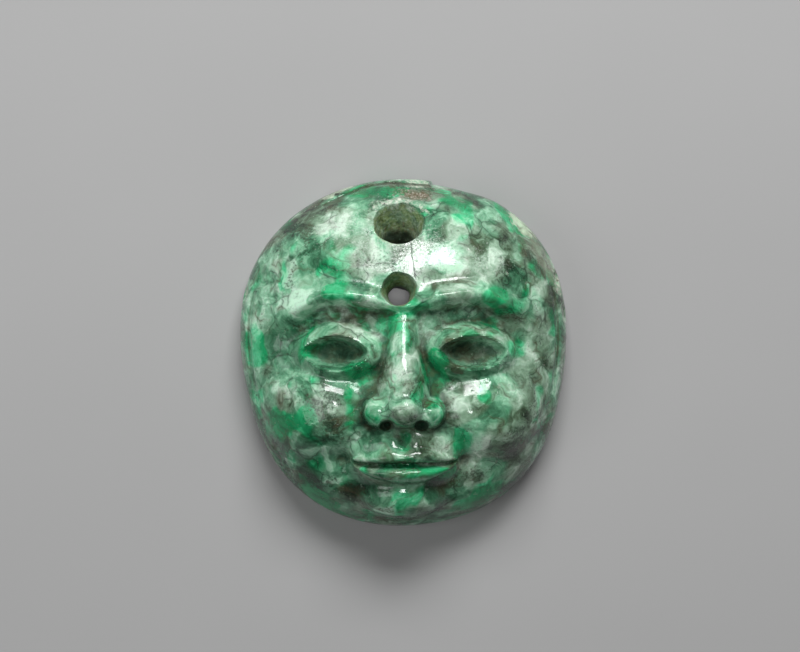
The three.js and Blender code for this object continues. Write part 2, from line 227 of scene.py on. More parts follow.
# Bare chips, and the stain at the end of the fissure, given in the same way
BARE = [(2, 27.7, 2.3, 0.9, -6), (25.8, 10.6, 0.9, 1.5, 14)]
STAINED = [(-11.4, 24.3, 2.2, 0.8, 30)]

# Bare stone round the upper side of the large hole: how raw, how far out and how wide it is, and
# the heights over the middle of the hole between which it sets in
WORN_ARC = Sizes(raw=0.74, gap=0.7, half=1.0, above=(0.8, 3.0))

# How thick a skin takes a mark: on the roof of the hollow, the rim, the wall of a hole from just
# inside its mouth, and a chip; and how dirty the side creases and the stain are
SKIN = Sizes(roof=0.6, rim=0.1, wall=0.25, mouth=(0.15, 0.8), chip=(0.05, 0.5))
DIRT = Sizes(creases=0.7, stain=0.75)

# Sunken places are found on a grid of this pitch and reach, against the height evened over a near
# and a wide distance; each mark is full where the stone lies this far below it
GRID_PITCH = 0.25
GRID_REACH = 36
NEAR = Sizes(width=1.1, full=0.9)
WIDE = Sizes(width=3.2, full=2.0)


# Shapes

def ease(start, end, value):
    """Smooth step from 0 at start to 1 at end."""
    t = np.clip((value - start) / (end - start), 0, 1)
    return t * t * (3 - 2 * t)


def bell(value, middle, half):
    return np.exp(-(((value - middle) / half) ** 2))


def higher(a, b, soft):
    """The higher of two surfaces, with a rounded valley where they meet."""
    share = np.clip(0.5 + 0.5 * (a - b) / soft, 0, 1)
    return b + (a - b) * share + soft * share * (1 - share)


def form(x, y, shape):
    """Height of one oval carved form."""
    along = (x - shape.x) / shape.wide
    across = (y - shape.y) / (shape.high * np.maximum(1 - shape.pinch * along ** 2, PINCHED_TO))
    return shape.top - shape.fall * (along ** 2 + across ** 2) ** shape.power


def built_up(height, x, y, shape):
    return higher(height, form(x, y, shape), shape.soft)


def cut_in(height, x, y, shape):
    return -higher(-height, -form(x, y, shape), shape.soft)


def upper_face(side, y):
    """Forehead standing over the sockets, with a raised ridge along the brow."""
    brow = BROW.y + BROW.arch * bell(side, BROW_ARCH.x, BROW_ARCH.half)
    brow = brow - BROW.fall * ease(*BROW_FALL, side) - BROW.dip * bell(side, 0, BROW_DIP)
    blur = BROW.step + BROW.temple_step * ease(*TEMPLE, side)
    above = ease(-blur, blur, y - brow)
    forehead = FOREHEAD.high - FOREHEAD.lost * ease(*FOREHEAD.upwards, y)
    forehead = forehead * (1 - ease(*FOREHEAD.sideways, side))
    socket = SOCKET.deep * bell(side, SOCKET.x, SOCKET.wide) * bell(y, SOCKET.y, SOCKET.high)
    ends = ease(*RIDGE.inner, side) * (1 - ease(*RIDGE.outer, side))
    raised = RIDGE.high * bell(y, brow + RIDGE.above, RIDGE.half)
    furrow = FURROW.deep * bell(y, brow + FURROW.above, FURROW.half)
    return above * forehead - socket * (1 - above) + (raised - furrow) * ends


def roll(lip, share):
    """Round section of one lip, at a share of its thickness."""
    return lip.proud * (4 * share * (1 - share)) ** LIP_ROUND


def lips(x, y):
    """Lips laid over the muzzle, parted by a thin line with a dimple at each end."""
    line = LIP_LINE + LIP_CURVE * x ** 2
    taper = np.maximum(1 - (x / LIP_HALF) ** 2, 0)
    bow = 1 - BOW.share * bell(x, 0, BOW.half)
    upper = UPPER_LIP.thick * taper ** UPPER_LIP.taper * bow + THINNEST
    under = LOWER_LIP.thick * taper ** LOWER_LIP.taper + THINNEST
    rolls = roll(UPPER_LIP, np.clip((y - line) / upper, 0, 1))
    rolls = rolls + roll(LOWER_LIP, np.clip((line - y) / under, 0, 1))
    corner = LIP_HALF + PARTING.past
    length = np.maximum(1 - (x / corner) ** 2, 0) ** PARTING.taper
    parting = PARTING.deep * bell(y, line, PARTING.half) * length
    dimple = bell(np.abs(x), corner, DIMPLE.wide) * bell(y, line, DIMPLE.high)
    run = ease(*GROOVE.below, y) * (1 - ease(*GROOVE.above, y))
    groove = GROOVE.deep * bell(x, 0, GROOVE.half) * run
    return rolls * np.sqrt(taper) - parting - dimple - groove


def nose(x, y):
    """A ridge from the brows, a rounded tip and two wings."""
    top = NOSE.low + NOSE.gain * ease(NOSE.root, NOSE.tip, y)
    top = top - NOSE_FOOT.fall * ease(NOSE_FOOT.start, NOSE_FOOT.end, y)
    top = top - NOSE_HEAD.fall * ease(NOSE_HEAD.start, NOSE_HEAD.end, y)
    half = NOSE_HALF.bridge + NOSE_HALF.lower * ease(*NOSE_HALF.downwards, y)
    half = half + NOSE_HALF.upper * ease(*NOSE_HALF.upwards, y)
    ridge = top - NOSE.sides * np.abs(x / half) ** NOSE.side_power
    return built_up(built_up(ridge, x, y, NOSE_TIP), np.abs(x), y, NOSE_WING)


def carving(x, y):
    """Height of the carving over the plain dome."""
    side = np.abs(x)
    height = upper_face(side, y)
    height = built_up(height, side, y, CHEEK)
    height = built_up(height, side, y, LIDS)
    height = cut_in(height, side, y, EYE)
    height = built_up(height, x, y, MUZZLE)
    height = built_up(height, x, y, CHIN) + lips(x, y)
    height = higher(height, nose(x, y), NOSE.soft)
    return cut_in(height, side, y, NOSTRIL)


def outline(angle):
    """Distance from the middle to the edge, seen from the front."""
    reach = 1 / np.hypot(np.cos(angle) / (WIDTH / 2), np.sin(angle) / (HEIGHT / 2))
    for crests, high, at in EDGE_WAVES:
        reach = reach + high * np.cos(crests * (angle - math.radians(at)))
    return reach


def dome(share, angle):
    """Points of the uncarved dome, and the way they face."""
    reach = outline(angle)
    turn = (outline(angle + SMALL_TURN) - outline(angle - SMALL_TURN)) / (2 * SMALL_TURN)
    drop = np.sqrt(np.maximum(1 - share ** FULLNESS, 0))
    lean = DOME * FULLNESS * share ** (FULLNESS - 1) / 2
    c, s = np.cos(angle), np.sin(angle)
    out, round_ = lean / reach, -lean * turn / reach ** 2
    facing = np.stack([c * out - s * round_, s * out + c * round_, drop], -1)
    facing /= np.linalg.norm(facing, axis=-1, keepdims=True)
    place = np.stack([share * reach * c, share * reach * s, EDGE + DOME * drop], -1)
    return place, facing


def swell(points, size, seed, waves=16):
    """Smooth unevenness of about -1 to 1, with features of a given size."""
    draw = np.random.default_rng(seed)
    ways = draw.normal(size=(waves, 3))
    ways /= np.linalg.norm(ways, axis=1, keepdims=True) * size * draw.uniform(0.7, 1.5, (waves, 1))
    starts = draw.uniform(0, 2 * math.pi, waves)
    return np.sin(points @ ways.T * 2 * math.pi + starts).sum(-1) / math.sqrt(waves)


def uneven(points, waves):
    """Sum of several swells, each with its height, size and seed."""
    return sum(high * swell(points, size, seed) for high, size, seed in waves)


def carved(share, angle):
    """Points of the carved front before it is chipped; the carver's hand wanders a little."""
    place, facing = dome(share, angle)
    x = place[..., 0] + uneven(place, STRAYS_RIGHT)
    y = place[..., 1] + uneven(place, STRAYS_UP)
    height = carving(x, y) + uneven(place, FRONT_WAVES)
    height = height * (1 - ease(CARVED_TO, 1, share))
    rise = facing + np.array([0, 0, 1])
    rise /= np.linalg.norm(rise, axis=-1, keepdims=True)
    return place + rise * height[..., None]


def over(x, y):
    """Share of the way to the edge, and angle, of places seen from the front."""
    angle = np.arctan2(y, x)
    return np.minimum(np.hypot(x, y) / outline(angle), 1), angle


def on_front(x, y):
    return carved(*over(x, y))


def scoop_balls():
    """Centre and radius of the ball whose skin each chip follows."""
    balls = []
    for x, y, radius, depth, raw in CHIPS:
        facing = dome(*over(x, y))[1]
        balls.append((on_front(x, y) + facing * (radius - depth), radius, raw))
    return balls


def beside(points, path, half):
    """1 on a line drawn over the front, falling to 0 beside it."""
    best = np.zeros(points.shape[:-1])
    for (x0, y0), (x1, y1) in zip(path, path[1:]):
        run = np.array([x1 - x0, y1 - y0])
        arm = points[..., :2] - (x0, y0)
        share = np.clip(arm @ run / (run @ run), 0, 1)
        far = np.linalg.norm(arm - share[..., None] * run, axis=-1)
        best = np.maximum(best, np.exp(-((far / half) ** 2)))
    return best


def drill_frame(hole):
    """Mouth of a hole on the front and the way it leads in."""
    lean = math.radians(hole.lean)
    mouth = on_front(hole.x, hole.y)
    return mouth, np.array([0, -math.sin(lean), -math.cos(lean)])


def hole_radius(hole, depth):
    """Radius of a hole at a depth, with its mouth worn round."""
    depths, radii = zip(*hole.profile)
    worn = WORN_MOUTH.wide * np.exp(-np.maximum(depth, WORN_MOUTH.top) / WORN_MOUTH.fade)
    return np.interp(depth, depths, radii) + worn


def hole_gap(points, hole):
    """Distance of points outside a hole's wall, and their depth in the hole."""
    mouth, inward = drill_frame(hole)
    arm = points - mouth
    depth = arm @ inward
    radial = np.linalg.norm(arm - depth[..., None] * inward, axis=-1)
    return radial - hole_radius(hole, depth), depth


def side_crease(share, angle):
    """1 along the crease that sets off each side of the head, fading out up and down."""
    from_side = np.arctan2(np.sin(angle), np.abs(np.cos(angle)))
    across = bell(share, SIDE_CREASE.share, SIDE_CREASE.half)
    return across * bell(from_side, SIDE_CREASE.middle, SIDE_CREASE.spread)


def front(ring, angle):
    """Points of the front, chipped, creased and broken along the edge."""
    share = (ring + np.sin(ring * math.pi / 2) ** (2 / FULLNESS)) / 2
    point = carved(share, angle)
    for centre, radius, _ in scoop_balls():
        arm = point - centre
        length = np.linalg.norm(arm, axis=-1)
        skin = radius + uneven(point, CHIP_WAVES)
        inside = length < skin
        point[inside] = (centre + arm * (skin / length)[..., None])[inside]
    facing = dome(share, angle)[1]
    wobble = point + uneven(point, DAMAGE_WAVES)[..., None]
    point[..., 2] += ROLL_RISE.high * beside(point, ROLL, ROLL_RISE.half)
    point[..., 2] -= FISSURE_CUT.deep * beside(wobble, FISSURE, FISSURE_CUT.half)
    lost = ease(*LOST_EDGE.start, wobble[..., 0]) * (1 - ease(*LOST_EDGE.end, point[..., 0]))
    lost = lost * (point[..., 1] > 0) * ease(*LOST_EDGE.shares, share)
    point[..., :2] -= facing[..., :2] * (LOST_EDGE.deep * lost)[..., None]
    crease = SIDE_CREASE.deep * side_crease(share, angle)
    broken = patches(point, PATCHES["earthy"]) * (BREAK_DEEP + uneven(point, BREAK_WAVES))
    point -= facing * (crease + broken)[..., None]
    return point


def hollow(ring, angle):
    """Points of the roof of the hollow back, ground out by hand."""
    share = np.sin(ring * math.pi / 2)
    reach = share * outline(angle) * HOLLOW_SHARE
    roof = HOLLOW_DEPTH * np.cos(ring * math.pi / 2)
    point = np.stack([reach * np.cos(angle), reach * np.sin(angle), roof], -1)
    point[..., 2] += uneven(point, HOLLOW_WAVES) * (1 - ease(*PLAIN_RIM, share))
    return point


def round_steps(count):
    """Each step round a ring, with the next one."""
    return [(step, (step + 1) % count) for step in range(count)]


def domed_mesh(name, rings, surface, feet):
    """Closed body under a surface of rings; a ring of its foot has a share and a height."""
    ring = [0.0]
    angle = [0.0]
    for k in range(1, rings + 1):
        ring += [k / rings] * (6 * k)
        angle += [math.pi * step / (3 * k) for step in range(6 * k)]
    points = surface(np.array(ring), np.array(angle))
    first = [0] + [1 + 3 * k * (k - 1) for k in range(1, rings + 1)]
    faces = []
    for k in range(1, rings + 1):
        count, inside = 6 * k, max(6 * (k - 1), 1)
        for sector in range(6):
            for step in range(k):
                o, i = sector * k + step, sector * (k - 1) + step
                outer, beyond = first[k] + o % count, first[k] + (o + 1) % count
                inner, next_inner = first[k - 1] + i % inside, first[k - 1] + (i + 1) % inside
                faces.append((outer, beyond, inner))
                if step < k - 1:
                    faces.append((inner, beyond, next_inner))
    count = 6 * rings
    rim = points[first[rings]:]
    above = first[rings]
    stack = [points]
    for share, height in feet:
        start = sum(len(p) for p in stack)
        stack.append(np.column_stack([rim[:, :2] * share, np.full(count, height)]))
        faces += [(above + a, start + a, start + b, above + b) for a, b in round_steps(count)]
        above = start
    middle = sum(len(p) for p in stack)
    stack.append(np.array([[0, 0, feet[-1][1]]]))
    faces += [(above + b, above + a, middle) for a, b in round_steps(count)]
    return mesh_object(name, np.concatenate(stack) * MM, faces)


def added(name, data):
    made = bpy.data.objects.new(name, data)
    bpy.context.scene.collection.objects.link(made)
    return made


def mesh_object(name, points, faces):
    mesh = bpy.data.meshes.new(name)
    mesh.from_pydata(points.tolist(), [], faces)
    mesh.update()
    return added(name, mesh)


def drill_bit(name, hole):
    """Turned solid that cuts one hole, a little uneven."""
    mouth, inward = drill_frame(hole)
    first, last = hole.profile[0][0], hole.profile[-1][0]
    shaft = np.linspace(SHAFT_LEVELS.first, last, SHAFT_LEVELS.count)
    levels = np.concatenate([[first], np.linspace(*MOUTH_LEVELS), shaft])
    angles = np.arange(DRILL_SIDES) * 2 * math.pi / DRILL_SIDES
    across = np.array([1.0, 0, 0])
    up = np.cross(across, inward)
    spokes = np.cos(angles)[:, None] * across + np.sin(angles)[:, None] * up
    rings = []
    for level in levels:
        centre = mouth + inward * level
        radius = hole_radius(hole, level)
        radius = radius + uneven(centre + spokes * radius, DRILL_WAVES)
        rings.append(centre + spokes * radius[:, None])
    count = len(levels)
    points = np.concatenate(rings + [[mouth + inward * levels[0]], [mouth + inward * levels[-1]]])
    top, end = count * DRILL_SIDES, (count - 1) * DRILL_SIDES
    faces = []
    for at in range(0, end, DRILL_SIDES):
        below = at + DRILL_SIDES
        faces += [(at + a, below + a, below + b, at + b) for a, b in round_steps(DRILL_SIDES)]
    for a, b in round_steps(DRILL_SIDES):
        faces += [(a, b, top), (end + b, end + a, top + 1)]
    return mesh_object(name, points * MM, faces)


def clear_slivers(mesh):
    """Takes out the faces of no width left by the cutting."""
    work = bmesh.new()
    work.from_mesh(mesh)
    bmesh.ops.remove_doubles(work, verts=work.verts, dist=SAME_PLACE * MM)
    bmesh.ops.dissolve_degenerate(work, dist=SAME_PLACE * MM, edges=work.edges)
    bmesh.ops.triangulate(work, faces=[f for f in work.faces if len(f.verts) > 3])
    work.to_mesh(mesh)
    work.free()


def carve_stone():
    """The stone with its hollow and holes cut, as one mesh."""
    inset = 1 - CHAMFER / (WIDTH / 2)
    rough = domed_mesh("rough_stone", FRONT_RINGS, front, [(1, CHAMFER), (inset, 0)])
    cutters = [
        domed_mesh("hollow", HOLLOW_RINGS, hollow, [(CUT_WIDER, CUT_BELOW)]),
        drill_bit("small_hole", SMALL_HOLE),
        drill_bit("large_hole", LARGE_HOLE),
    ]
    for cutter in cutters:
        cut = rough.modifiers.new(cutter.name, "BOOLEAN")
        cut.operation = "DIFFERENCE"
        cut.solver = "MANIFOLD"
        cut.object = cutter
    seen = bpy.context.evaluated_depsgraph_get()
    mesh = bpy.data.meshes.new_from_object(rough.evaluated_get(seen))
    mesh.name = "carved_mask"
    clear_slivers(mesh)
    for used in [rough, *cutters]:
        bpy.data.objects.remove(used)
    mesh.shade_smooth()
    mesh.set_sharp_from_angle(angle=math.radians(SHARP_TURN))
    return added("carved_mask", mesh)


# Where the stone is sunken, rough, chipped or tinted

def soft_blur(field, cells):
    """A field evened over a distance, by its waves."""
    rows, columns = np.fft.fftfreq(field.shape[0]), np.fft.fftfreq(field.shape[1])
    keep = np.exp(-2 * (math.pi * cells) ** 2 * (rows[:, None] ** 2 + columns[None, :] ** 2))
    return np.fft.ifft2(np.fft.fft2(field) * keep).real


def sunken(points):
    """Shares in which the front lies below its surroundings, near and wide."""
    steps = np.arange(-GRID_REACH, GRID_REACH, GRID_PITCH)
    x, y = np.meshgrid(steps, steps, indexing="ij")
    share, _ = over(x, y)
    field = carving(x, y) * (1 - ease(CARVED_TO, 1, share))
    u, v = (points[:, 0] + GRID_REACH) / GRID_PITCH, (points[:, 1] + GRID_REACH) / GRID_PITCH
    i, j = u.astype(int), v.astype(int)
    p, q = u - i, v - j
    found = []
    for scale in (NEAR, WIDE):
        below = soft_blur(field, scale.width / GRID_PITCH) - field
        left, right = (below[i + n, j] * (1 - q) + below[i + n, j + 1] * q for n in (0, 1))
        found.append(np.clip((left * (1 - p) + right * p) / scale.full, 0, 1))
    return found


def patches(points, spots):
    """1 in the middle of each patch, 0.5 at its outline and 0 well outside."""
    best = np.zeros(points.shape[:-1])
    for x, y, wide, tall, lean in spots:
        turn = math.radians(lean)
        arm = points - on_front(x, y)
        c, s = math.cos(turn), math.sin(turn)
        along, across = arm[..., 0] * c + arm[..., 1] * s, arm[..., 1] * c - arm[..., 0] * s
        far = np.sqrt((along / wide) ** 2 + (across / tall) ** 2 + (arm[..., 2] / (wide + tall)) ** 2)
        best = np.maximum(best, 1 - ease(0, 2, far))
    return best


def back_mark(points, share):
    """1 in the hollow and on the rim, 0 elsewhere."""
    inner = np.clip(share / HOLLOW_SHARE, 0, 1)
    roof = HOLLOW_DEPTH * np.sqrt(1 - inner ** 2)
    in_hollow = (share < HOLLOW_SHARE) & (points[:, 2] < roof + SKIN.roof)
    return (in_hollow | (points[:, 2] < SKIN.rim)) * 1.0


def hole_marks(points):
    """Shares of the drilled walls, their brown stain and the painted shade further in."""
    found = np.zeros((3, len(points)))
    for hole in (SMALL_HOLE, LARGE_HOLE):
        gap, depth = hole_gap(points, hole)
        inside = (gap < SKIN.wall) * ease(*SKIN.mouth, depth)
        shares = [inside, inside * ease(*hole.stained, depth), inside * ease(*hole.dark, depth)]
        found = np.maximum(found, shares)
    return found


def raw_mark(points):
    """Share of bare stone: in the chips, over the large hole and in bare patches."""
    raw = patches(points, BARE)
    for centre, radius, share in scoop_balls():
        over_skin = np.linalg.norm(points - centre, axis=1) - radius
        raw = np.maximum(raw, share * (1 - ease(*SKIN.chip, over_skin)))
    gap, _ = hole_gap(points, LARGE_HOLE)
    upper = ease(*WORN_ARC.above, points[:, 1] - LARGE_HOLE.y)
    return np.maximum(raw, WORN_ARC.raw * bell(gap, WORN_ARC.gap, WORN_ARC.half) * upper)


def mark_stone(stone):
    """Writes what varies over the stone into attributes of its mesh."""
    mesh = stone.data
    flat = np.zeros(len(mesh.vertices) * 3)
    mesh.vertices.foreach_get("co", flat)
    points = flat.reshape(-1, 3) / MM
    share, angle = over(points[:, 0], points[:, 1])
    behind = back_mark(points, share)
    near, wide = sunken(points)
    drilled, stained, deep = hole_marks(points)
    creased = DIRT.creases * side_crease(share, angle)
    lined = np.maximum(beside(points, FISSURE, FISSURE_CUT.half), creased)
    lined = np.maximum(lined, DIRT.stain * patches(points, STAINED))
    marks = {name: patches(points, spots) for name, spots in PATCHES.items()}
    marks.update(recess=near, valley=wide, drilled=drilled, stained=stained, deep=deep, lined=lined)
    marks.update(raw=raw_mark(points))
    marks = {name: values * (1 - behind) for name, values in marks.items()}
    for name, values in {**marks, "behind": behind}.items():
        layer = mesh.attributes.new(name, "FLOAT", "POINT")
        layer.data.foreach_set("value", values.astype(np.float32))


# Finishes

class Wire:
    """A number that varies over a surface; sums on it add Math nodes."""

    def __init__(self, finish, socket):
        self.finish, self.socket = finish, socket

    def __add__(self, other):
        return self.finish.maths("ADD", self, other)

    def __sub__(self, other):
        return self.finish.maths("SUBTRACT", self, other)

    def __rsub__(self, other):
        return self.finish.maths("SUBTRACT", other, self)

    def __mul__(self, other):
        return self.finish.maths("MULTIPLY", self, other)

    def __abs__(self):
        return self.finish.maths("ABSOLUTE", self)

    __radd__ = __add__
    __rmul__ = __mul__


class Finish:
    """One material, with its body colour and the shares of the layers laid on it."""

    def __init__(self, name):
        self.material = bpy.data.materials.new(name)
        self.material.use_nodes = True
        self.tree = self.material.node_tree
        self.tree.nodes.clear()
        self.body = None
        self.shares = {}

    def node(self, kind, settings, values, out=0):
        made = self.tree.nodes.new(kind)
        for name, value in settings.items():
            setattr(made, name, value)
        for name, value in values.items():
            socket = made.inputs[name]
            if isinstance(value, Wire):
                self.tree.links.new(value.socket, socket)
            else:
                socket.default_value = value
        return Wire(self, made.outputs[out]) if made.outputs else None

    def maths(self, operation, *values):
        return self.node("ShaderNodeMath", {"operation": operation}, dict(enumerate(values)))

    def step(self, start, end, value):
        """0 below start, 1 above end, smooth between."""
        values = {"Value": value, "From Min": start, "From Max": end}
        return self.node("ShaderNodeMapRange", {"interpolation_type": "SMOOTHSTEP"}, values)

    def near(self, distance, width):
        """1 at no distance, 0 beyond a width."""
        return 1 - self.step(0.0, width, distance)

    def blend(self, share, first, second):
        """From the first colour to the second, as the share goes from 0 to 1."""
        values = {0: share, 6: as_colour(first), 7: as_colour(second)}
        return self.node("ShaderNodeMix", {"data_type": "RGBA"}, values, out=2)

    def lay(self, name, share, colour):
        """Lays a colour over the body, and keeps its share by its name."""
        self.shares[name] = share
        self.body = self.blend(share * COVER[name], self.body, colour)

    def total(self, weights):
        """Sum of the shares that are named, each with its weight."""
        return sum(self.shares[name] * weight for name, weight in weights.items())

    def vector(self, operation, *values):
        return self.node("ShaderNodeVectorMath", {"operation": operation}, dict(enumerate(values)))

    def axis(self, place, number):
        return self.node("ShaderNodeSeparateXYZ", {}, {"Vector": place}, out=number)

    def mark(self, name):
        return self.node("ShaderNodeAttribute", {"attribute_name": name}, {}, out=2)

    def frayed_mark(self, name, start, end, noise):
        """A mark whose outline is frayed by noise."""
        return self.step(start, end, self.mark(name) + noise)

    def place(self):
        """Place in the stone, in millimetres."""
        own = self.node("ShaderNodeTexCoord", {}, {}, out=3)
        return self.node("ShaderNodeVectorMath", {"operation": "SCALE"}, {0: own, "Scale": 1 / MM})

    def cloud(self, place, size, detail=4, rough=0.55, shift=None, colour=False):
        """Cloudy noise with features of a given size; a shift gives another such cloud."""
        place = self.vector("ADD", place, shift) if shift else place
        values = {"Vector": place, "Scale": 1 / size, "Detail": detail, "Roughness": rough}
        return self.node("ShaderNodeTexNoise", {}, values, out=int(colour))

    def grains(self, place, size, soft):
        """A random number for each grain of a given size, softly joined."""
        values = {"Vector": place, "Scale": 1 / size, "Smoothness": soft}
        colour = self.node("ShaderNodeTexVoronoi", {"feature": "SMOOTH_F1"}, values, out=1)
        return self.node("ShaderNodeSeparateColor", {}, {"Color": colour})

    def seams(self, place, size):
        """Distance from the nearest seam between grains of a given size."""
        values = {"Vector": place, "Scale": 1 / size}
        return self.node("ShaderNodeTexVoronoi", {"feature": "DISTANCE_TO_EDGE"}, values)

    def ramp(self, value, colours):
        """A row of colours, each at one of the shades."""
        made = self.node("ShaderNodeValToRGB", {}, {"Fac": value})
        stops = made.socket.node.color_ramp.elements
        for shade in SHADES[2:]:
            stops.new(shade)
        for stop, shade, colour in zip(stops, SHADES, colours):
            stop.position = shade
            stop.color = as_colour(tone(*colour))
        return made

    def shader(self, settings):
        return self.node("ShaderNodeBsdfPrincipled", {}, settings)

    def surface(self, shader, other=None, share=0):
        """Ends the material with a shader, or with two and the share of the second."""
        if other:
            shader = self.node("ShaderNodeMixShader", {}, {0: share, 1: shader, 2: other})
        self.node("ShaderNodeOutputMaterial", {}, {"Surface": shader})
        return self.material


def as_colour(value):
    return value if isinstance(value, Wire) else (*value, 1)


def tone(red, green, blue):
    """A colour given as it looks on a screen, turned into the light it reflects."""
    return tuple(((c / 255 + 0.055) / 1.055) ** 2.4 for c in (red, green, blue))


# The stone's colours on a screen: greyish, green and vivid stone, at these shades, dark to pale
SHADES = (0.05, 0.28, 0.50, 0.72, 0.95)
GREYISH = [(46, 62, 46), (82, 106, 82), (118, 150, 124), (160, 190, 166), (208, 230, 212)]
GREEN = [(36, 74, 52), (62, 114, 84), (96, 154, 120), (142, 196, 162), (194, 232, 206)]
VIVID = [(4, 80, 46), (6, 118, 72), (20, 158, 98), (72, 200, 142), (150, 230, 184)]

# Veins and cream-coloured stone, painted shade, dirt, breaks and the walls of the holes
UMBER = tone(88, 80, 58)
CREAMY = tone(204, 222, 194)
DRAB = tone(142, 154, 134)
SMOKE = tone(52, 66, 50)
INK = tone(20, 34, 24)
DEEP_SHADE = tone(22, 62, 44)
EARTH = tone(64, 56, 38)
RUST = tone(96, 74, 52)
BONE = tone(222, 220, 208)
CELADON = tone(126, 204, 160)
ASH = tone(104, 116, 92)
OLIVE = tone(134, 152, 96)
MOSS = tone(120, 142, 112)
OCHRE = tone(138, 116, 76)
FROST = tone(196, 212, 198)

# How much of each colour is left in the stone's smoke and beside its dark seams
DARKENED = (0.14, 0.17, 0.14)

# Size of the stone's grains, and how far the pattern is swirled, frayed and the grains pushed
GRAIN = 4.0
SWIRLED = (6.0, 6.0, 6.0)
FRAYED = (2.6, 2.6, 2.6)
PUSHED = (1.6, 1.6, 1.6)

# Shade of the stone, from 0, darkest, to 1, palest: its middle, the weight of each size of cloud,
# what pale and dark patches add and take, and the shade that emerald patches tend to
SHADE = Sizes(middle=0.475, drifts=0.8, clouds=0.8, flecks=0.66, grains=0.46, plates=0.16,
              pale=0.18, dark=0.17, even=0.46, evened=0.6)

# Where the stone turns green and then vivid green: limits of a cloud, and what is added to it
TO_GREEN = Sizes(start=0.39, end=0.53, sideways=0.003, emerald=0.14, pale=0.04, frosty=0.12, dark=0.05)
TO_VIVID = Sizes(start=0.56, end=0.68, clouds=0.1, emerald=0.34, frosty=0.12, most=0.9)

# Hairline crack in the forehead: its place at the middle of the face, its lean, how far it wanders,
# the half widths between which it fades, and the heights at which it sets in and ends
CRACK = Sizes(x=3.46, lean=0.14, wander=0.6, half=(0.03, 0.13), foot=(10.8, 12.2), head=(17.6, 18.2))

# How much each layer covers what lies under it, on the stone and in the lining of the holes
COVER = {
    "cream": 0.8, "smoke": 0.38, "specks": 0.60, "seam_halo": 0.30, "seams": 0.56, "vein_halo": 0.55,
    "veins": 0.42, "crack": 0.8, "weathered": 0.75, "pepper": 0.34, "salt": 0.45, "shadow": 0.26,
    "grime": 0.64, "drilled": 0.8, "deep": 0.86, "raw": 0.75, "earthy": 0.8, "lined": 0.7,
    "behind": 0.35, "pits": 0.35,
}
LINING = Sizes(dark=0.6, pale=0.5, crust=0.85)

# Roughness of the polish, and what each layer adds to it
POLISH = 0.055
DULLER = {
    "smears": 0.06, "worn": 0.20, "pepper": 0.30, "grime": 0.22, "shadow": 0.10, "drilled": 0.25,
    "frosted": 0.32, "raw": 0.35, "earthy": 0.35, "lined": 0.3, "behind": 0.35,
}

# What each layer adds to the share of dusty stone
DUSTIER = {"grime": 0.85, "shadow": 0.25, "drilled": 0.45, "raw": 0.55, "earthy": 0.7, "behind": 0.35}

# Relief in millimetres: waves of the polish, layers that lie lower, grit of the polish and layers
POLISH_WAVES = 0.04
LOWER = {"pits": 0.05, "crack": 0.05}
GRIT = 0.002
GRITTIER = {"drilled": 0.03, "behind": 0.06, "raw": 0.08, "earthy": 0.12}


def green_grains(stone, bent, frayed, grained):
    """Grains from dark to pale, in slow drifts from greyish through green to vivid green."""
    pale, dark = stone.mark("pale"), stone.mark("dark")
    emerald, frosty = stone.mark("emerald"), stone.mark("frosty")
    drifts = stone.cloud(bent, 7.0, detail=1, rough=0.5) - 0.5
    clouds = stone.cloud(frayed, 2.6, detail=2, rough=0.5, shift=(31, 5, 77)) - 0.5
    flecks = stone.cloud(frayed, 0.8, rough=0.6, shift=(3, 55, 20)) - 0.5
    grains = stone.grains(grained, GRAIN, 0.3) - 0.5
    plates = stone.cloud(frayed, 4.5, detail=2.5, rough=0.5, shift=(5, 61, 17))
    plates = stone.step(0.475, 0.525, plates)
    shade = SHADE.middle + drifts * SHADE.drifts + clouds * SHADE.clouds + flecks * SHADE.flecks
    shade = shade + grains * SHADE.grains + plates * SHADE.plates
    evened = (shade - SHADE.even) * emerald * SHADE.evened
    shade = shade + pale * SHADE.pale - dark * SHADE.dark - evened
    slow = stone.cloud(bent, 7.0, detail=1, rough=0.5, shift=(71, 9, 14))
    slow = slow - stone.axis(bent, 0) * TO_GREEN.sideways
    slow = slow + emerald * TO_GREEN.emerald + pale * TO_GREEN.pale
    slow = slow - frosty * TO_GREEN.frosty - dark * TO_GREEN.dark
    glow = stone.cloud(bent, 5.0, detail=1, rough=0.5, shift=(40, 7, 3)) + clouds * TO_VIVID.clouds
    glow = glow + emerald * TO_VIVID.emerald - frosty * TO_VIVID.frosty
    green = stone.step(TO_GREEN.start, TO_GREEN.end, slow)
    vivid = stone.step(TO_VIVID.start, TO_VIVID.end, glow) * TO_VIVID.most
    body = stone.blend(green, stone.ramp(shade, GREYISH), stone.ramp(shade, GREEN))
    stone.body = stone.blend(vivid, body, stone.ramp(shade, VIVID))


def creamed(stone, place):
    """Ragged patches of cream-coloured stone."""
    ragged = stone.cloud(place, 1.3, detail=5, rough=0.65) - 0.5
    stone.lay("cream", stone.frayed_mark("cream", 0.28, 0.50, ragged * 1.4), CREAMY)


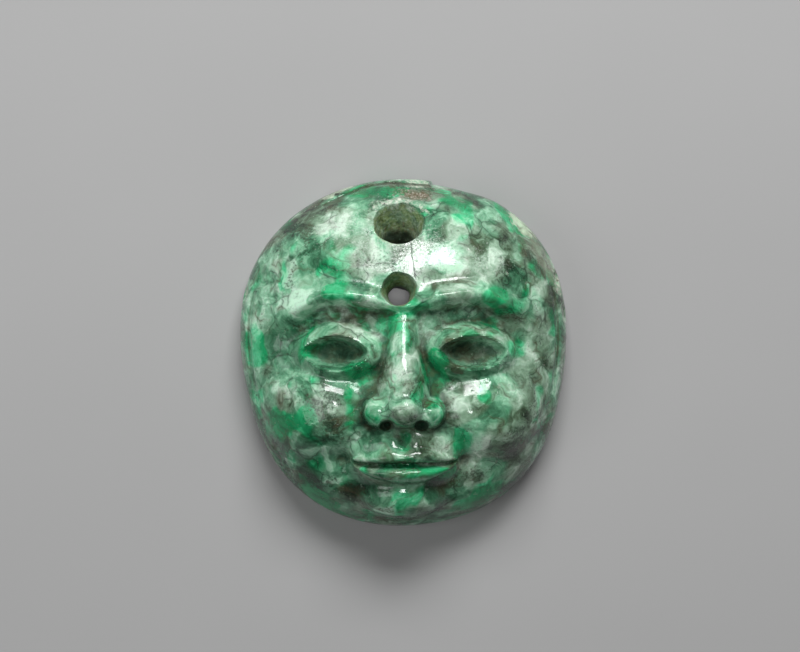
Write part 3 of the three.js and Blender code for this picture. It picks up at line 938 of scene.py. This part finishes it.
def specked(stone, place, bent, frayed):
    """Smoke along wandering seams and in clouds, and specks in the clouds."""
    pale, dark = stone.mark("pale"), stone.mark("dark")
    clean = (1 - stone.mark("emerald") * 0.55) * (1 - pale * 0.5)
    spread = stone.cloud(bent, 6.5, detail=2, shift=(2, 8, 60))
    spread = stone.step(0.44, 0.74, spread + dark * 0.16 - pale * 0.06)
    path = stone.cloud(frayed, 6.5, detail=2, rough=0.5, shift=(11, 23, 31))
    seams = stone.near(abs(path - 0.5), 0.02 + spread * 0.09) * (0.3 + spread * 0.7)
    clouds = stone.cloud(bent, 4.5, detail=3, rough=0.5, shift=(60, 3, 12))
    clouds = stone.step(0.50, 0.74, clouds + dark * 0.16 - pale * 0.05)
    smoke = stone.maths("MAXIMUM", seams, clouds) * clean
    stone.lay("smoke", smoke, stone.vector("MULTIPLY", stone.body, DARKENED))
    specks = stone.cloud(place, 0.42, rough=0.65) - 0.63 + clouds * clean * 0.22
    brown = stone.step(0.50, 0.62, stone.cloud(bent, 3.6, detail=3, rough=0.6, shift=(8, 90, 4)))
    stone.lay("specks", stone.step(0.0, 0.14, specks), stone.blend(brown, INK, EARTH))


def seamed(stone, place, grained):
    """Dark seams round some of the grains and across others, each a thin core in a soft halo."""
    shown = stone.cloud(place, 5.0, detail=2, shift=(20, 4, 44))
    shown = stone.step(0.48, 0.64, shown - stone.mark("pale") * 0.06 - stone.mark("emerald") * 0.06)
    edge = stone.seams(grained, GRAIN)
    across = abs(stone.cloud(grained, 8.0, detail=1.5, rough=0.5, shift=(52, 40, 6)) - 0.5) * 3
    halo = stone.maths("MAXIMUM", stone.near(edge, 0.20), stone.near(across, 0.12)) * shown
    core = stone.maths("MAXIMUM", stone.near(edge, 0.045), stone.near(across, 0.028)) * shown
    stone.lay("seam_halo", halo, stone.vector("MULTIPLY", stone.body, DARKENED))
    stone.lay("seams", core, INK)


def veined(stone, bent, frayed):
    """Long brown veins, mostly across the stone, soft outside and dark within."""
    long = stone.vector("MULTIPLY", frayed, (0.45, 1.0, 1.0))
    line = abs(stone.cloud(long, 5.5, detail=2.5, rough=0.5, shift=(14, 31, 52)) - 0.5)
    shown = stone.step(0.45, 0.60, stone.cloud(bent, 6.0, detail=2, shift=(33, 1, 70)))
    shown = shown * (1 - stone.mark("frosty")) * (1 - stone.mark("emerald") * 0.6)
    stone.lay("vein_halo", stone.near(line, 0.060) * shown, UMBER)
    stone.lay("veins", stone.near(line, 0.012) * shown, INK)


def crack(stone, place):
    """A hairline crack down the forehead from the large hole."""
    x, y = stone.axis(place, 0), stone.axis(place, 1)
    wander = (stone.cloud(place, 1.5) - 0.5) * CRACK.wander
    line = 1 - stone.step(*CRACK.half, abs(x - CRACK.x + y * CRACK.lean + wander))
    return line * stone.step(*CRACK.foot, y) * (1 - stone.step(*CRACK.head, y))


def pepper(stone, place):
    """Fine dark specks, in clusters."""
    specks = stone.step(0.50, 0.66, stone.cloud(place, 0.26, detail=3, rough=0.7))
    clusters = stone.step(0.38, 0.62, stone.cloud(place, 3.6, shift=(3, 31, 8)))
    return specks * clusters


def mottled(stone, place):
    """Colour of the polished stone, with its crack and its weathered strip."""
    swirls = stone.cloud(place, 8, detail=2, colour=True)
    bent = stone.vector("MULTIPLY_ADD", swirls, SWIRLED, place)
    fray = stone.cloud(place, 2.4, detail=1.5, colour=True)
    frayed = stone.vector("MULTIPLY_ADD", fray, FRAYED, bent)
    grained = stone.vector("MULTIPLY_ADD", fray, PUSHED, bent)
    green_grains(stone, bent, frayed, grained)
    creamed(stone, place)
    specked(stone, place, bent, frayed)
    seamed(stone, place, grained)
    veined(stone, bent, frayed)
    stone.lay("crack", crack(stone, place), INK)
    weathered = stone.frayed_mark("weathered", 0.25, 0.70, (stone.cloud(place, 1.4) - 0.5) * 0.8)
    stone.lay("weathered", weathered, stone.blend(stone.cloud(place, 0.8), UMBER, DRAB))
    stone.lay("pepper", pepper(stone, place), SMOKE)
    salt = stone.cloud(place, 0.42, detail=3, rough=0.7, shift=(4, 4, 90)) - 0.66
    stone.lay("salt", stone.step(0.0, 0.16, salt + stone.mark("frosty") * 0.22), FROST)


def shaded_and_soiled(stone, place):
    """Painted shade, a deeper green, in the sunken places, and old dirt at their bottom."""
    recess, valley = stone.mark("recess"), stone.mark("valley")
    # Painted shade: the sunken places are darkened towards deep green
    stone.lay("shadow", stone.step(0.0, 1.0, recess * 0.8 + valley * 0.7), DEEP_SHADE)
    crumbs = stone.cloud(place, 1.0, detail=6, rough=0.7) - 0.5
    grime = stone.step(0.45, 1.20, recess * 0.8 + valley * 0.6 + crumbs * 2.2)
    dirt = stone.blend(stone.step(0.4, 0.6, stone.cloud(place, 1.8)), INK, EARTH)
    stone.lay("grime", grime, dirt)


def drilled(stone, place):
    """Mossy, flecked walls in the holes, crusted brown further in, and painted shade, dark, at the
    bottom.
    """
    lining = stone.blend(stone.step(0.42, 0.60, stone.cloud(place, 1.8, rough=0.65)), OLIVE, MOSS)
    flecks = stone.cloud(place, 0.55, rough=0.75)
    lining = stone.blend(stone.step(0.50, 0.62, flecks) * LINING.dark, lining, INK)
    lining = stone.blend((1 - stone.step(0.38, 0.48, flecks)) * LINING.pale, lining, FROST)
    crusted = stone.cloud(place, 0.9, detail=5, rough=0.7, shift=(9, 3, 7)) - 0.66
    crusted = stone.step(0.0, 0.2, crusted + stone.mark("stained") * 0.2)
    crust = stone.blend(stone.step(0.42, 0.58, stone.cloud(place, 0.7)), EARTH, OCHRE)
    lining = stone.blend(crusted * LINING.crust, lining, crust)
    stone.lay("drilled", stone.mark("drilled"), lining)
    # Painted shade: the walls go dark deep in the holes
    stone.lay("deep", stone.mark("deep"), INK)


def damaged(stone, place, grit):
    """Bare stone in the chips, earth in the break, dirt in the creases and a ground back."""
    flaked = stone.cloud(place, 1.3, rough=0.65, shift=(6, 2, 1))
    raw = stone.frayed_mark("raw", 0.34, 0.80, (grit - 0.5) * 1.8 + (flaked - 0.5) * 2.6)
    clean = stone.blend(stone.cloud(place, 1.5), ASH, CELADON)
    stone.lay("raw", raw, stone.blend(stone.step(0.40, 0.62, grit), BONE, clean))
    earthy = stone.frayed_mark("earthy", 0.30, 0.80, (grit - 0.5) * 1.6 + (flaked - 0.5) * 1.2)
    rusty = stone.blend(stone.step(0.46, 0.66, grit) * 0.6, RUST, BONE)
    stone.lay("earthy", earthy, rusty)
    lined = stone.frayed_mark("lined", 0.25, 0.75, (grit - 0.5) * 0.6)
    stone.lay("lined", lined, stone.blend(stone.step(0.35, 0.55, flaked), INK, EARTH))
    stone.lay("behind", stone.mark("behind"), ASH)


def dulled(stone, place, grit):
    """Keeps the shares of what only dulls the polish: frosted spots, smears and wear."""
    spots = stone.cloud(place, 0.32, detail=3, shift=(2, 2, 9))
    stone.shares["frosted"] = stone.mark("frosty") * stone.step(0.47, 0.55, spots)
    stone.shares["smears"] = stone.step(0.44, 0.66, stone.cloud(place, 4.5, shift=(14, 2, 6)))
    stone.shares["worn"] = stone.frayed_mark("worn", 0.25, 0.75, (grit - 0.5) * 1.4)


def pits(stone, place):
    """Tiny pits in groups, wider where the polish is worn."""
    fine = stone.step(0.58, 0.66, stone.cloud(place, 0.40, detail=3, shift=(1, 2, 3)))
    groups = stone.cloud(place, 2.6, shift=(7, 7, 1)) + stone.shares["worn"] * 0.10
    return fine * stone.step(0.50, 0.62, groups)


def jade():
    """Polished jade, dusty in its dirt, its drillings, its breaks and its ground back."""
    stone = Finish("polished_jade")
    place = stone.place()
    grit = stone.cloud(place, 0.5, detail=6, rough=0.75)
    mottled(stone, place)
    shaded_and_soiled(stone, place)
    drilled(stone, place)
    damaged(stone, place, grit)
    dulled(stone, place, grit)
    stone.lay("pits", pits(stone, place), SMOKE)
    relief = stone.cloud(place, 3.0, detail=2) * POLISH_WAVES - stone.total(LOWER)
    relief = relief + grit * (GRIT + stone.total(GRITTIER))
    bumped = stone.node("ShaderNodeBump", {}, {"Strength": 1.0, "Distance": MM, "Height": relief})
    polished = stone.shader({
        "Base Color": stone.body,
        "Roughness": POLISH + stone.total(DULLER),
        "Normal": bumped,
        "IOR": 1.5,
        "Specular IOR Level": 0.5,
        "Subsurface Weight": 0.3,
        "Subsurface Radius": (0.6, 1.2, 0.8),
        "Subsurface Scale": MM,
    })
    dusty = stone.shader({
        "Base Color": stone.body,
        "Roughness": 0.8,
        "Normal": bumped,
        "Specular IOR Level": 0.2,
    })
    return stone.surface(polished, dusty, stone.step(0.0, 1.0, stone.total(DUSTIER)))


def plain_floor():
    floor = Finish("pale_floor")
    drifts = floor.cloud(floor.place(), 60, detail=2)
    grey = floor.blend(drifts, (0.33, 0.33, 0.33), (0.36, 0.36, 0.36))
    return floor.surface(floor.shader({"Base Color": grey, "Roughness": 0.85}))


# Setting: floor, lights and camera

# The photograph in pixels: its width, the stone's, and how far right of its middle and below it the
# stone's middle lies; and the stone's width in millimetres
PHOTO = Sizes(wide=800, stone=326, right=4, below=24.5, measured=55)

# Half the width of the floor, in metres
FLOOR_HALF = 1.6

# Soft lights: place and size in metres, and watts; what they face; and the light from all round
LIGHTS = {
    "key_softbox": ((0.045, 0.38, 0.405), (0.32, 0.20), 3.6),
    "left_fill": ((-0.35, -0.1, 0.4), (0.3, 0.3), 0.6),
    "lens_light": ((0, 0.02, 0.9), (0.10, 0.16), 1.0),
}
LIGHTS_AIM = (0, 0, 12 * MM)
STUDIO_LIGHT = 0.10


def make_floor():
    corners = np.array([(-1, -1, 0), (1, -1, 0), (1, 1, 0), (-1, 1, 0)])
    floor = mesh_object("floor", corners * FLOOR_HALF, [(0, 1, 2, 3)])
    floor.data.materials.append(plain_floor())


def make_lights():
    for name, (place, size, watts) in LIGHTS.items():
        lamp = bpy.data.lights.new(name, "AREA")
        lamp.shape = "RECTANGLE"
        lamp.size, lamp.size_y = size
        lamp.energy = watts
        made = added(name, lamp)
        made.location = place
        way = np.array(LIGHTS_AIM) - place
        made.rotation_euler = Vector(way).to_track_quat("-Z", "Y").to_euler()
    world = bpy.data.worlds.new("studio")
    bpy.context.scene.world = world
    world.use_nodes = True
    backdrop = world.node_tree.nodes["Background"]
    backdrop.inputs["Color"].default_value = (0.7, 0.7, 0.7, 1)
    backdrop.inputs["Strength"].default_value = STUDIO_LIGHT


def make_camera():
    """Looks straight down on the face, as the photograph does."""
    pixel = PHOTO.measured * MM / PHOTO.stone
    lens = bpy.data.cameras.new("camera")
    lens.lens = 100
    lens.sensor_width = 36
    camera = added("camera", lens)
    distance = PHOTO.wide * pixel * lens.lens / lens.sensor_width
    camera.location = (-PHOTO.right * pixel, PHOTO.below * pixel, distance + EDGE * MM)
    bpy.context.scene.camera = camera


make_camera()
mask = carve_stone()
mark_stone(mask)
mask.data.materials.clear()
mask.data.materials.append(jade())
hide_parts("mask")
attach(mask, "root")
make_floor()
make_lights()
bpy.context.scene.view_settings.view_transform = "Standard"
